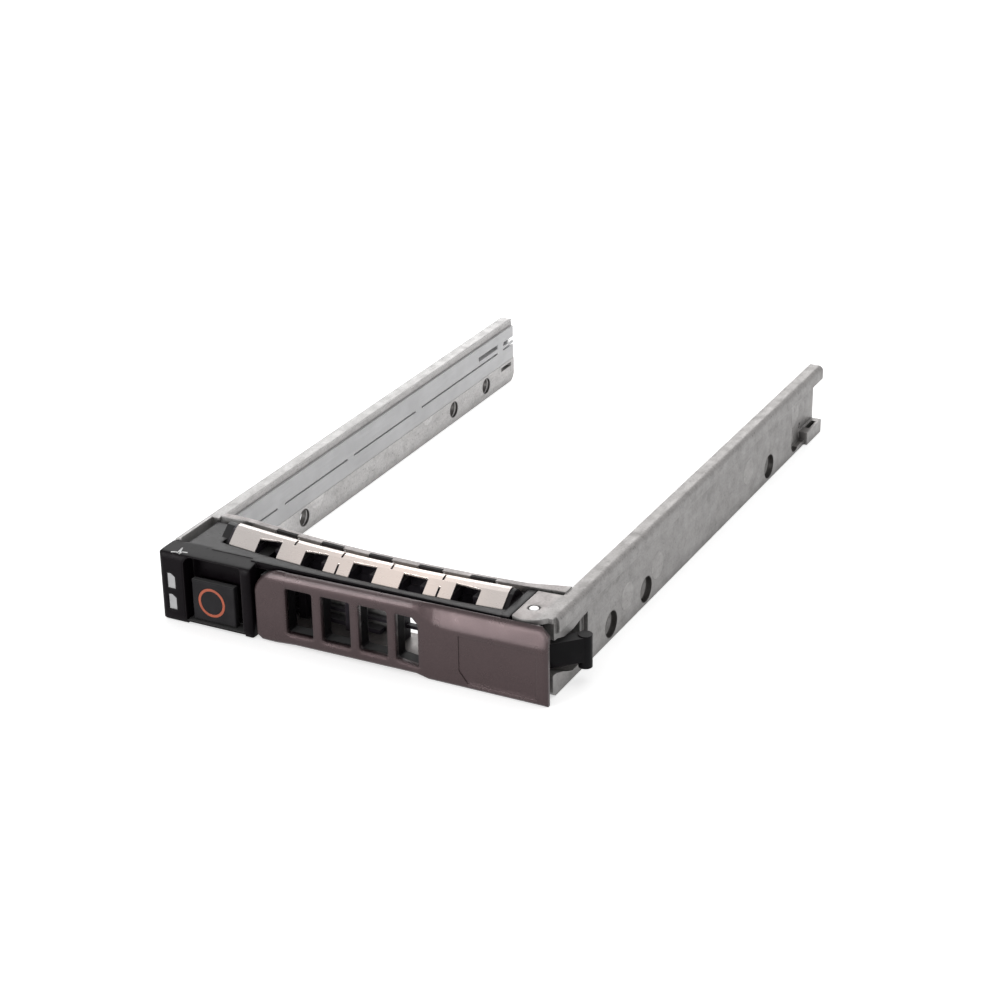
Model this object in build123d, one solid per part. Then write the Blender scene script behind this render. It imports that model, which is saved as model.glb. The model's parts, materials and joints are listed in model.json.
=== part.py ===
import os
from math import atan2, cos, degrees, sin, sqrt, tau
from build123d import *

# All sizes in millimetres. X runs to the right, Y towards the connector end, Z up.
# While building, x = 0 is the middle of the drive bay, y = 0 the front drive hole
# and z = 0 the underside of the rails. Everything is moved to the shared origin at the end.

# Drive bay and rails
bay_width = 70.2
rail_height = 14.85
web_thickness = 2.2
bead_overhang = 0.75
bead_height = 3.0
bead_round = 1.1
rail_rear_y = 105.3
rail_front_y = -23.3
rail_end_round = 2.0

# Drive screw holes, to the 2.5 inch drive standard
drive_hole_pitch = 76.6
hole_pair_offset = 15.15
drive_hole_z = 3.0
drive_hole_r = 1.65
drive_head_r = 2.45
drive_head_depth = 1.0

# Recess and foot at the rear end of the right rail
rear_pocket_length = 15.8
rear_pocket_depth = 1.27
rear_foot_length = 8.3
rear_foot_top = 2.8
rear_foot_slot = 1.1
rear_hole_r = 0.65

# Light pipe along the left rail
pipe_low_z = 5.2
pipe_split_z = 8.6
pipe_drop = 2.0
pipe_slit = 0.4
pipe_depth = 1.35
pipe_clearance = 0.1
pipe_bridge = 2.7
pipe_tip = 2.25
pipe_rear_slot = 9.0

# Front crossbar
floor_thickness = 0.9
floor_setback = 0.4
bar_height = 15.1
bar_thickness = 1.25
bar_end_setback = 11.8
bow_x = 7.0
bow_radius = 240.0
bow_setback = 4.15
bar_vent_width = 5.8
bar_vent_pitch = 7.6
bar_vent_inset = 4.6
bar_vent_top = 11.0

# Hinge corner
pin_inset = 2.45
pin_setback = 2.4
pin_r = 0.95
pin_play = 0.05
corner_r = 4.45
corner_plate_thickness = 0.95
corner_plate_reach = 4.6

# Opening in the right rail for the hook, and the pocket behind it
hook_window_low = 1.5
hook_window_length = 12.4
hook_recess_length = 13.7
hook_recess_depth = 0.9
hook_pocket_reach = 3.7
hook_pocket_length = 12.55
hook_pocket_top = 9.2
hook_pocket_wall = 0.6

# Front bezel
bezel_overhang = 4.0
bezel_head_width = 19.2
bezel_gap = 0.2
bezel_depth = 3.8
bezel_drop = 0.5
bezel_bottom = 0.15
bezel_corner_r = 1.9
sill_bottom = 0.45
lip_gap = 0.8
lip_thickness = 1.2
housing_drop = 2.1
housing_wall = 1.2
end_wall_inset = 7.15
end_wall_gap = 0.4
end_wall_length = 10.55
end_wall_thickness = 2.2
end_wall_drop = 0.2
led_inset = 1.6
led_width = 1.7
led_height = 3.0
led_rows = (2.35, 6.5)

# Release button
button_width = 9.0
button_height = 7.9
button_inset = 10.75
button_low_z = 0.95
button_recess = 0.8
button_plate = 1.2
pocket_side_gap = 2.1
pocket_brow = 1.0
pocket_left_r = 1.7
pocket_right_r = 0.8
pocket_low_z = 0.75
pocket_floor = 0.55
flange_gap = 0.25
body_inset = 0.8
slide_gap = 0.15
ring_r = 2.8
ring_width = 0.5
ring_depth = 0.3

# Handle
handle_gap = 0.5
handle_overhang = 2.85
handle_setback = 0.3
handle_wall = 1.1
cover_thickness = 1.3
handle_drop = 0.35
handle_taper = 0.55
edge_bevel = 1.0
rim_bevel = 0.45
grip_bevel = 3.65
window_low_z = 2.65
window_brow = 3.05
window_corner = 0.5
lever_depth = 2.4
lever_low_z = 1.5
lever_brow = 2.0
hub_r = 2.3
knob_reach = 2.2
knob_setback = 5.6
knob_r = 1.25
knob_low_z = 2.7
knob_top_z = 8.85
arm_low_z = 4.05
arm_top_z = 8.6
spring_room = 4.1

# Shielding spring strip
strip_thickness = 0.25
strip_left_inset = 6.6
strip_right_gap = 0.75
cell_pitch = 10.05
cell_window_width = 4.8
cell_offset = 0.55
strip_rise = 1.25
strip_rear_drop = 2.15
strip_slit_back = 2.2
strip_tip_drop = 1.17
strip_tip_back = 0.7
clip_slot_width = 5.6
clip_slot_height = 0.67
clip_slot_drop = 0.95
cell_count = 5

# Comb under the strip
comb_drop = 1.0
comb_plate = 1.7
comb_beam_top = 2.1
comb_beam_height = 4.0
cheek_drop = 0.25

# Screws under the floor
screw_r = 1.0
screw_head_r = 1.75
screw_post_r = 2.0
screw_length = 6.0

# Across the caddy, worked out from the bay
bay_half = bay_width / 2
web_x = bay_half + web_thickness
bead_x = web_x + bead_overhang
pin_x = bay_half - pin_inset
corner_plate_x = bay_half - corner_plate_reach
hook_pocket_x = bay_half - hook_pocket_reach
knob_x = web_x + knob_reach
bezel_left_x = -bay_half - bezel_overhang
bezel_right_x = bezel_left_x + bezel_head_width
button_x = bezel_left_x + button_inset
led_x = bezel_left_x + led_inset
end_wall_x = bay_half - end_wall_inset
end_wall_right_x = end_wall_x + end_wall_thickness
handle_left_x = bezel_right_x + handle_gap
handle_right_x = bay_half + handle_overhang
lever_right_x = pin_x - 1.15
strip_left_x = -bay_half + strip_left_inset
strip_right_x = end_wall_x - strip_right_gap
cell_middle_x = (strip_left_x + strip_right_x) / 2 + cell_offset
housing_left_x = -bay_half + 0.2
housing_right_x = bezel_right_x - 0.6

# From front to back, worked out from the two ends of the rails
bezel_back_y = rail_front_y - bezel_gap
bezel_front_y = bezel_back_y - bezel_depth
handle_front_y = bezel_front_y + handle_setback
lever_front_y = handle_front_y + handle_wall
lever_back_y = lever_front_y + lever_depth
cover_back_y = handle_front_y + cover_thickness
lip_front_y = cover_back_y + lip_gap
end_wall_front_y = cover_back_y + end_wall_gap
end_wall_rear_y = end_wall_front_y + end_wall_length
button_face_y = bezel_front_y + button_recess
pocket_floor_y = bezel_back_y - pocket_floor
flange_y = bezel_back_y + flange_gap
floor_front_y = rail_front_y + floor_setback
pin_y = rail_front_y + pin_setback
knob_y = pin_y + knob_setback
hook_window_rear_y = rail_front_y + hook_window_length
hook_recess_rear_y = rail_front_y + hook_recess_length
hook_pocket_y = rail_front_y + hook_pocket_length
bar_end_y = rail_front_y + bar_end_setback
bow_y = rail_front_y + bow_setback + bow_radius
strip_rear_r = bow_radius - 3.6
strip_front_r = bow_radius + 4.45
strip_tip_r = strip_front_r - strip_tip_back
carrier_rear_r = strip_rear_r + 0.1
housing_back_y = rail_front_y + 8.7
spring_seat_y = housing_back_y - 1.6
rear_pocket_y = rail_rear_y - rear_pocket_length
rear_foot_y = rail_rear_y - rear_foot_length

# Heights, worked out from the rails and the crossbar
bead_low_z = rail_height - bead_height
plate_low_z = rail_height - corner_plate_thickness
pipe_top_z = rail_height - pipe_drop
hub_top_z = plate_low_z - spring_room
bezel_top = rail_height - bezel_drop
end_wall_top = rail_height - end_wall_drop
housing_top = bar_height - housing_drop
pocket_top = bezel_top - pocket_brow
button_top_z = button_low_z + button_height
button_z = (button_low_z + button_top_z) / 2
handle_top = rail_height - handle_drop
handle_low_top = handle_top - handle_taper
window_top_z = handle_top - window_brow
lever_top_z = handle_top - lever_brow
strip_crest_z = bar_height + strip_rise
strip_tip_z = bar_height - strip_tip_drop
comb_top = bar_height - comb_drop


def box(x0, x1, y0, y1, z0, z1):
    """A block between two corners."""
    middle = ((x0 + x1) / 2, (y0 + y1) / 2, (z0 + z1) / 2)
    return Pos(*middle) * Box(x1 - x0, y1 - y0, z1 - z0)


def rod(x, y, r, z0, z1):
    """An upright cylinder."""
    return Pos(x, y, (z0 + z1) / 2) * Cylinder(r, z1 - z0)


def rod_x(y, z, r, x0, x1):
    """A cylinder lying along X."""
    return Pos((x0 + x1) / 2, y, z) * Rot(0, 90, 0) * Cylinder(r, x1 - x0)


def rod_y(x, z, r, y0, y1):
    """A cylinder lying along Y."""
    return Pos(x, (y0 + y1) / 2, z) * Rot(90, 0, 0) * Cylinder(r, y1 - y0)


def outline(*points):
    """A flat face inside straight edges."""
    return make_face(Polyline(*points, close=True))


def along_x(face, x0, x1):
    """A face drawn in Y and Z, carried from x0 to x1."""
    return Pos(x0, 0, 0) * extrude(Plane.YZ * face, x1 - x0)


def along_y(face, y0, y1):
    """A face drawn in X and Z, carried from y0 to y1."""
    return Pos(0, y1, 0) * extrude(Plane.XZ * face, y1 - y0)


def upward(face, z0, z1):
    """A face drawn in X and Y, carried from z0 to z1."""
    return Pos(0, 0, z0) * extrude(face, z1 - z0)


def rounded(face, point, r):
    """The face with the corner nearest the point rounded."""
    corner = face.vertices().sort_by_distance((point[0], point[1], 0))[0]
    return fillet(corner, r)


def bow_y_at(x, r):
    """Where a circle about the bow's centre passes x."""
    return bow_y - sqrt(r * r - (x - bow_x) ** 2)


def bow_band(r0, r1, z0, z1, x0, x1):
    """A bowed slab between two radii about the bow's centre, cut square at x0 and x1."""
    ring = rod(bow_x, bow_y, r1, z0, z1) - rod(bow_x, bow_y, r0, z0 - 1, z1 + 1)
    return ring & box(x0, x1, bow_y - r1 - 1, 0, z0, z1)


def rail_profile():
    """Half-open channel section of a rail, drawn for the right side."""
    face = outline(
        (bay_half, 0),
        (web_x, 0),
        (web_x, bead_low_z - 0.3),
        (bead_x, bead_low_z + 0.2),
        (bead_x, rail_height),
        (bay_half, rail_height),
    )
    return rounded(face, (bead_x, rail_height), bead_round)


def drive_hole_rows():
    """The four hole positions along a rail."""
    front = [0, hole_pair_offset]
    return front + [y + drive_hole_pitch for y in front]


def drive_hole_cuts():
    """Four holes with sunk heads, drawn for the right side."""
    cuts = []
    for y in drive_hole_rows():
        cuts.append(rod_x(y, drive_hole_z, drive_hole_r, bay_half - 1, bead_x + 1))
        cuts.append(rod_x(y, drive_hole_z, drive_head_r, web_x - drive_head_depth, bead_x + 1))
        neck = Cone(drive_head_r, drive_hole_r, 0.8)
        cuts.append(Pos(web_x - drive_head_depth - 0.4, y, drive_hole_z) * Rot(0, -90, 0) * neck)
    return cuts


def hook_window(rear_y):
    """Side view of the opening in the right rail that the lever's hook swings through."""
    return outline(
        (rail_front_y - 1, 4.2),
        (pin_y - 1.1, 4.1),
        (pin_y + 1.4, 3.2),
        (pin_y + 3.5, 2.2),
        (pin_y + 5.3, hook_window_low),
        (rear_y, hook_window_low),
        (rear_y, 10.1),
        (pin_y + 5.4, 9.45),
        (pin_y + 1.9, 9.6),
        (pin_y - 0.7, 10.5),
        (rail_front_y - 1, 10.8),
    )


def right_rail():
    """Right rail with the hook opening, the bead and the rear recess."""
    rail = along_y(rail_profile(), rail_front_y, rail_rear_y)
    pocket_x = web_x - rear_pocket_depth
    rail -= box(pocket_x, bead_x + 1, rear_pocket_y, rail_rear_y + 1, rear_foot_top, bead_low_z - 0.05)
    rail -= box(pocket_x, bead_x + 1, rear_pocket_y + 1, rear_foot_y, 0.9, rear_foot_top + 0.1)
    rail += box(pocket_x, bead_x, rear_foot_y, rail_rear_y, 0, rear_foot_top)
    slot_x = pocket_x + 0.35
    rail -= box(slot_x, slot_x + rear_foot_slot, rear_foot_y + 2.5, rail_rear_y - 1.6, -1, 4)
    rail -= rod_x(rear_foot_y + 0.4, rear_foot_top + 1.1, rear_hole_r, bay_half - 1, web_x)
    rail -= box(web_x, bead_x + 1, rail_front_y - 1, rail_front_y + 1.1, bead_low_z - 2, rail_height + 1)
    rail -= box(bay_half, bead_x + 1, rail_front_y - 1, rail_front_y + 0.6, 9, plate_low_z)
    toe = outline((rail_front_y, 0), (rail_front_y + 0.9, 0), (rail_front_y, 0.9))
    rail -= along_x(toe, bay_half - 1, bead_x + 1)
    rail -= along_x(hook_window(hook_window_rear_y), bay_half - 0.01, bead_x + 1)
    rail -= along_x(hook_window(hook_recess_rear_y), web_x - hook_recess_depth, bead_x + 1)
    for cut in drive_hole_cuts():
        rail -= cut
    return rail


def left_rail():
    """Left rail with the groove that holds the light pipe."""
    rail = along_y(rail_profile(), rail_front_y, rail_rear_y)
    groove_x = bay_half + pipe_depth + pipe_clearance
    y0 = rail_front_y - 1
    y1 = rail_rear_y + 1
    rail -= box(bay_half - 1, groove_x, y0, y1, pipe_low_z, pipe_top_z)
    rail -= box(bay_half - 1, bay_half + 0.5, y0, y1, pipe_top_z - 0.1, rail_height - 0.5)
    rail -= box(bay_half - 1, web_x + 1, rail_rear_y - 6.2, rail_rear_y - 1.4, 3.7, 4.6)
    step_end_y = rail_front_y + 10
    rail -= box(bay_half - 1, bay_half + 1.5, rail_front_y - 1, step_end_y, pipe_top_z - 1, rail_height + 1)
    profile = outline(
        (rail_front_y, 0),
        (rail_rear_y, 0),
        (rail_rear_y, rail_height),
        (rail_front_y, rail_height),
    )
    profile = rounded(profile, (rail_rear_y, 0), rail_end_round)
    profile = rounded(profile, (rail_rear_y, rail_height), rail_end_round)
    rail &= along_x(profile, bay_half - 1, bead_x + 1)
    for cut in drive_hole_cuts():
        rail -= cut
    return mirror(rail, Plane.YZ)


def crossbar_plan():
    """Plan of the bowed rear wall, with straight ends into the rails."""
    rear_r = strip_rear_r - bar_thickness
    left_x = strip_left_x - 0.9
    right_x = strip_right_x + 0.7
    rear_mid = (0.5, bow_y_at(0.5, rear_r))
    front_mid = (0.5, bow_y_at(0.5, strip_rear_r))
    rear_left = (left_x, bow_y_at(left_x, rear_r))
    rear_right = (right_x, bow_y_at(right_x, rear_r))
    front_right = (right_x, bow_y_at(right_x, strip_rear_r))
    front_left = (left_x, bow_y_at(left_x, strip_rear_r))
    end = bay_half + 0.05
    left_rear = (-end, bar_end_y)
    left_front = (-end, bar_end_y - bar_thickness)
    right_rear = (end, bar_end_y + 0.1)
    right_front = (end, bar_end_y - 2.2)
    edges = [
        Line(left_rear, rear_left),
        ThreePointArc(rear_left, rear_mid, rear_right),
        Line(rear_right, right_rear),
        Line(right_rear, right_front),
        Line(right_front, front_right),
        ThreePointArc(front_right, front_mid, front_left),
        Line(front_left, left_front),
        Line(left_front, left_rear),
    ]
    return make_face(edges)


def crossbar():
    """Rear wall, floor and vents between the rails."""
    bar = upward(crossbar_plan(), 0, bar_height)
    vent_low = floor_thickness - 0.35
    for x0 in bar_vents():
        y = bow_y_at(x0, strip_rear_r)
        bar -= box(x0, x0 + bar_vent_width, y - 3, y + 3, vent_low, bar_vent_top)
    slot_low = bar_height - clip_slot_drop
    for x in cell_middles():
        half = clip_slot_width / 2
        y = bow_y_at(x, strip_rear_r)
        bar -= box(x - half, x + half, y - 1, y + 3, slot_low, slot_low + clip_slot_height)
    ahead = outline(
        (-bay_half - 0.1, floor_front_y),
        (bay_half + 0.1, floor_front_y),
        (bay_half + 0.1, bar_end_y - 1.5),
        (bow_x, bow_y_at(bow_x, strip_rear_r)),
        (-bay_half - 0.1, bar_end_y - 0.7),
    )
    bar += upward(ahead, 0, floor_thickness)
    bar += upward(crossbar_plan(), 0, floor_thickness)
    wall = hook_pocket_wall
    bar += box(
        hook_pocket_x - wall, bay_half + 0.05, bar_end_y - 1.7, hook_pocket_y + wall,
        0, hook_pocket_top + wall,
    )
    bar -= box(
        hook_pocket_x, bay_half + 0.05, bar_end_y - 4.5, hook_pocket_y,
        hook_window_low, hook_pocket_top,
    )
    return bar


def bar_vents():
    """Left edges of the openings in the crossbar: three at the right, one at the left end."""
    last = strip_right_x - bar_vent_inset - bar_vent_width
    return [last - bar_vent_pitch * n for n in range(3)] + [strip_left_x - 0.1]


def hinge_corner():
    """Plate over the hinge, rounded about the pin."""
    face = outline(
        (corner_plate_x, pin_y),
        (web_x - 0.1, pin_y),
        (web_x - 0.1, pin_y + 5.9),
        (bay_half, pin_y + 6.3),
        (corner_plate_x, pin_y + 6.0),
    )
    plate = upward(face, plate_low_z, rail_height)
    plate += rod(pin_x, pin_y, corner_r, plate_low_z, rail_height)
    plate &= box(corner_plate_x, web_x, pin_y - 9, pin_y + 11, 0, rail_height)
    step_low = plate_low_z - 0.6
    plate += box(corner_plate_x, bay_half + 0.05, pin_y + 5.7, pin_y + 7.7, step_low, plate_low_z + 0.05)
    return plate


def tray_frame():
    """Cast metal frame: two rails, the front crossbar and the hinge corner."""
    frame = right_rail() + left_rail() + crossbar() + hinge_corner()
    frame -= rod(pin_x, pin_y, pin_r, -1, rail_height + 1)
    frame -= rod(pin_x, pin_y, pin_r + 0.2, rail_height - 0.3, rail_height + 1)
    for x, y in screw_places():
        frame -= rod(x, y, screw_r + 0.2, -1, floor_thickness + 1)
        frame -= rod(x, y, screw_head_r + 0.1, -1, 0.5)
    return frame


def screw_places():
    """Where the two bezel screws come up through the floor."""
    left = (-bay_half + 2.9, rail_front_y + 4.9)
    right = (end_wall_x - 2.05, rail_front_y + 5.1)
    return left, right


def bezel_head_profile():
    """Side view of the left end of the bezel."""
    face = outline(
        (bezel_back_y, bezel_bottom),
        (bezel_front_y + 0.25, bezel_bottom),
        (bezel_front_y, bezel_bottom + 1.2),
        (bezel_front_y, bezel_top - 1.9),
        (bezel_front_y + 0.3, bezel_top - 0.75),
        (bezel_back_y, bezel_top),
    )
    face = rounded(face, (bezel_front_y + 0.3, bezel_top - 0.75), 0.8)
    return rounded(face, (bezel_front_y, bezel_top - 1.9), 1.2)


def button_hole(inset, y0, y1):
    """Block with the outline of the button, made smaller by the inset."""
    half = button_width / 2 - inset
    return box(button_x - half, button_x + half, y0, y1, button_low_z + inset, button_top_z - inset)


def led_face(x0, z0, shrink):
    """Front view of one window, with its upper right corner cut off."""
    x1 = x0 + led_width - shrink
    top = z0 + led_height - shrink
    x0 += shrink
    z0 += shrink
    return outline((x0, z0), (x1, z0), (x1, top - 0.6), (x1 - 0.8, top), (x0, top))


def led_window(z0):
    """Window in the bezel over one end of the light pipe."""
    return along_y(led_face(led_x, z0, 0), bezel_front_y - 1, bezel_back_y + 1)


def bezel_head():
    """Left block of the bezel, with the pocket for the button."""
    head = along_x(bezel_head_profile(), bezel_left_x, bezel_right_x)
    plan = outline(
        (bezel_left_x, bezel_back_y),
        (bezel_left_x, bezel_front_y),
        (bezel_right_x, bezel_front_y),
        (bezel_right_x, bezel_back_y),
    )
    plan = rounded(plan, (bezel_left_x, bezel_front_y), 0.9)
    plan = rounded(plan, (bezel_right_x, bezel_front_y), 0.8)
    head &= upward(plan, 0, bezel_top + 1)
    front = outline(
        (bezel_left_x, bezel_bottom),
        (bezel_right_x, bezel_bottom),
        (bezel_right_x, bezel_top),
        (bezel_left_x, bezel_top),
    )
    front = rounded(front, (bezel_left_x, bezel_top), bezel_corner_r)
    front = rounded(front, (bezel_left_x, bezel_bottom), 1.0)
    head &= along_y(front, bezel_front_y - 1, bezel_back_y + 1)

    x0, x1 = pocket_sides()
    pocket = outline((x0, pocket_low_z), (x1, pocket_low_z), (x1, pocket_top), (x0, pocket_top))
    pocket = rounded(pocket, (x0, pocket_top), pocket_left_r)
    pocket = rounded(pocket, (x1, pocket_top), pocket_right_r)
    head -= along_y(pocket, bezel_front_y - 1, pocket_floor_y)
    head -= box(x0 + 0.2, x1 + 0.2, bezel_front_y - 1, bezel_back_y + 1, -1, sill_bottom)
    head -= button_hole(body_inset - slide_gap, bezel_front_y, bezel_back_y + 1)
    return head


def pocket_sides():
    """Left and right side of the pocket round the button."""
    left = button_x - button_width / 2 - pocket_side_gap / 2
    right = button_x + button_width / 2 + pocket_side_gap
    return left, right


def bezel_housing():
    """Box behind the button, screwed down to the floor."""
    left = housing_left_x
    right = housing_right_x
    roof = housing_top - housing_wall
    front = bezel_back_y - 1
    housing = box(left, right, bezel_back_y, housing_back_y, floor_thickness, housing_top)
    housing += box(left, strip_left_x - 1.1, bezel_back_y, housing_back_y + 0.6, roof, bezel_top)
    housing -= box(left + 4.2, right - 1.0, front, spring_seat_y, floor_thickness, roof)
    housing -= box(pocket_sides()[0], right - 1.0, front, rail_front_y + 2.7, floor_thickness, roof)
    x, y = screw_places()[0]
    return housing - rod(x, y, screw_r, 0, floor_thickness + screw_length)


def cheek(x0, x1):
    """Upright plate beside an end of the shielding strip, a little lower than the strip."""
    r = bow_radius
    top = strip_crest_z - cheek_drop
    foot = comb_top - 0.3
    side = outline(
        (strip_rear_r + 0.3, foot),
        (strip_rear_r + 0.3, top - strip_rear_drop),
        (strip_rear_r + 1.2, top - strip_rear_drop + 0.15),
        (r - 0.9, top - 0.35),
        (r - 0.2, top),
        (r + 0.5, top - 0.05),
        (r + 1.3, top - 0.4),
        (strip_tip_r - 0.1, strip_tip_z - cheek_drop),
        (strip_tip_r - 0.1, strip_tip_z - cheek_drop - 0.2),
        (strip_tip_r - 0.6, foot),
    )
    ring = revolve(Plane.XZ * side, Axis.Z)
    return Pos(bow_x, bow_y, 0) * ring & box(x0, x1, bezel_front_y, bar_end_y, foot, top + 1)


def bezel_right_end():
    """Lip along the top, the wall beside the hinge and its screw post."""
    low = bezel_top - lip_thickness
    back = rail_front_y + 3.3
    end = box(bezel_right_x - 1, end_wall_right_x, lip_front_y, back, low, bezel_top)
    end += box(strip_left_x - 1.1, bezel_right_x, pocket_floor_y, back, low, bezel_top)
    end -= rod(bow_x, bow_y, strip_front_r + 0.1, 0, bezel_top + 1)
    wall = box(end_wall_x, end_wall_right_x, end_wall_front_y, end_wall_rear_y, low, end_wall_top)
    wall = chamfer(wall.edges().filter_by(Axis.Y).group_by(Axis.Z)[-1].sort_by(Axis.X)[0], 0.7)
    wall += box(end_wall_x, end_wall_right_x, lever_back_y + 0.35, end_wall_rear_y, floor_thickness, low)
    fill_x = strip_right_x + 0.05
    fill_top = comb_top - 0.2
    fill = bow_band(carrier_rear_r, strip_tip_r, floor_thickness, fill_top, fill_x, end_wall_x + 0.1)
    fill -= box(strip_right_x - 1, end_wall_x, bezel_front_y, lever_back_y + 0.35, 0, low)
    fill += cheek(strip_right_x + 0.1, end_wall_x + 0.1)
    x, y = screw_places()[1]
    post_top = floor_thickness + screw_length + 3.1
    post = rod(x, y, screw_post_r, floor_thickness, post_top)
    post += box(x, end_wall_x, y - 1, y + 1, floor_thickness, post_top)
    post -= rod(x, y, screw_r, 0, floor_thickness + screw_length)
    return end + wall + fill + post


def front_bezel():
    """Black front moulding: button housing, top lip and right end wall."""
    shell = bezel_head() + bezel_housing() + bezel_right_end()
    for z0 in led_rows:
        shell -= led_window(z0)
    return shell - pipe_channel()


def pipe_channel():
    """Room in the bezel for the two bends of the light pipe."""
    low = led_rows[0] - 0.15
    return box(led_x, -bay_half + 0.25, bezel_front_y + 1.6, bezel_back_y + 1, low, pipe_top_z)


def pipe_side(low, high, window_low):
    """Side view of one strand, from the rear end to its window in the bezel."""
    bend = bezel_front_y + 1.9
    return outline(
        (rail_rear_y - 0.2, low),
        (rail_rear_y - 0.2, high),
        (rail_front_y, high),
        (bend, window_low + led_height),
        (bend, window_low),
        (rail_front_y, low),
    )


def light_pipe():
    """Clear light pipe: two strands joined by bridges, ending in two windows."""
    outer_x = -bay_half - pipe_depth
    inner_x = -bay_half - 0.05
    low_row, high_row = led_rows
    lower = along_x(pipe_side(pipe_low_z, pipe_split_z - pipe_slit / 2, low_row), outer_x, inner_x)
    upper = along_x(pipe_side(pipe_split_z + pipe_slit / 2, pipe_top_z, high_row), outer_x, inner_x)
    pipe = lower + upper
    last_bridge = rail_rear_y - 7.7
    for y in (6.0, 32.1, 60.0, last_bridge):
        pipe += box(outer_x, inner_x, y, y + pipe_bridge, pipe_split_z - 1, pipe_split_z + 1)
    slot_low = pipe_split_z + 1.1
    pipe -= box(outer_x - 1, inner_x + 1, last_bridge - pipe_rear_slot, last_bridge, slot_low, slot_low + 1)
    slit_y = last_bridge + pipe_bridge + 0.1
    pipe -= box(outer_x - 1, inner_x + 1, slit_y, rail_rear_y, slot_low - 0.3, slot_low + 0.6)
    for z0 in led_rows:
        tip = led_face(led_x, z0, 0.05)
        pipe += along_y(tip, bezel_front_y + 0.15, bezel_front_y + 0.15 + pipe_tip)
    return pipe


def release_button():
    """Push button: face plate, body through the pocket floor and a stop flange."""
    plate = box(
        button_x - button_width / 2, button_x + button_width / 2,
        button_face_y, button_face_y + button_plate, button_low_z, button_top_z,
    )
    front = plate.faces().sort_by(Axis.Y)[0]
    plate = fillet(front.edges(), 0.3)
    body = button_hole(body_inset, button_face_y + button_plate - 0.1, flange_y + 1.2)
    flange = button_hole(0.1, flange_y, flange_y + 0.7)
    low = button_low_z + 3.0
    catch = box(button_x + 2.2, button_x + 3.6, flange_y, flange_y + 3.4, low, low + 2.4)
    return plate + body + flange + catch - ring_band(button_face_y - 1, button_face_y + ring_depth)


def ring_band(y0, y1):
    """Round band with the size and place of the button's ring."""
    x = button_x - 0.4
    return rod_y(x, button_z, ring_r, y0, y1) - rod_y(x, button_z, ring_r - ring_width, y0 - 1, y1 + 1)


def button_ring():
    """Coloured ring set into the face of the button."""
    return ring_band(button_face_y - 0.04, button_face_y + ring_depth)


def coil(r, wire, pitch, turns, leg):
    """Wire wound along Z from z = 0 in short straight steps, with a straight leg at each end."""
    steps = 12
    points = [(r, -leg, 0)]
    for k in range(1, round(turns * steps)):
        turn = k / steps
        points.append((r * cos(tau * turn), r * sin(tau * turn), pitch * turn))
    end = tau * turns
    end_x = r * cos(end) - leg * sin(end)
    end_y = r * sin(end) + leg * cos(end)
    points.append((end_x, end_y, pitch * turns))
    path = Polyline(*points)
    section = Plane(origin=path @ 0, z_dir=path % 0) * RegularPolygon(wire / 2, 6)
    return sweep(section, path, transition=Transition.RIGHT)


def button_spring():
    """Compression spring behind the button."""
    y0 = flange_y + button_plate
    wire = 0.4
    turns = 3
    length = spring_seat_y - y0 - wire
    spring = coil(1.5, wire, length / turns, turns, 0)
    return Pos(button_x, spring_seat_y - wire / 2, button_z) * Rot(90, 0, 0) * spring


def handle_outline():
    """Front view of the handle cover, with its rounded left end and rising top."""
    left = handle_left_x
    right = handle_right_x
    shoulder = (left, handle_low_top - 4.15)
    belly = (left + 1.65, handle_low_top - 1.35)
    top_left = (left + 6.4, handle_low_top)
    lower_edge = (
        (right - 1.35, handle_top),
        (right, handle_top - 1.5),
        (right, 0),
        (right - 22.75, 0),
        (right - 25.15, 0.55),
        (left + 7.9, 0.4),
        (left + 3.9, 0.1),
        (left + 1.1, 0.15),
        (left, 1.0),
        shoulder,
    )
    return make_face([ThreePointArc(shoulder, belly, top_left), Polyline(top_left, *lower_edge)])


def handle_windows():
    """Left and right edges of the four vent windows."""
    edges = ((6.5, 12.0), (13.7, 19.6), (21.2, 27.0), (28.5, 33.0))
    return [(handle_left_x + x0, handle_left_x + x1) for x0, x1 in edges]


def window_face(x0, x1, grow):
    """Front view of one vent window; the rightmost has a slanted corner."""
    low = window_low_z - grow
    top = window_top_z + grow
    left = x0 - grow
    right = x1 + grow
    if x0 < handle_windows()[-1][0]:
        face = outline((left, low), (right, low), (right, top), (left, top))
        corners = ((left, low), (right, low), (right, top), (left, top))
    else:
        slant = ((right, top - 1.2), (right - 1.1, top - 0.1))
        face = outline((left, low), (right, low - 0.5), *slant, (left, top))
        corners = ((left, low), (left, top))
    for corner in corners:
        face = rounded(face, corner, window_corner)
    return face


def bevel_profile(drop):
    """Side view of what the bevel takes away when it reaches down by the drop."""
    share = (drop - edge_bevel) / (grip_bevel - edge_bevel)
    depth = 0.35 + 0.4 * share
    shoulder = 0.25 + 0.45 * share
    back = 0.9 + 0.25 * share
    steepness = (drop - shoulder) / depth
    return outline(
        (handle_front_y - 1, 1),
        (handle_front_y - 1, -drop - steepness),
        (handle_front_y + depth, -shoulder),
        (handle_front_y + back, 0.01),
        (handle_front_y + back, 1),
    )


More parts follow.
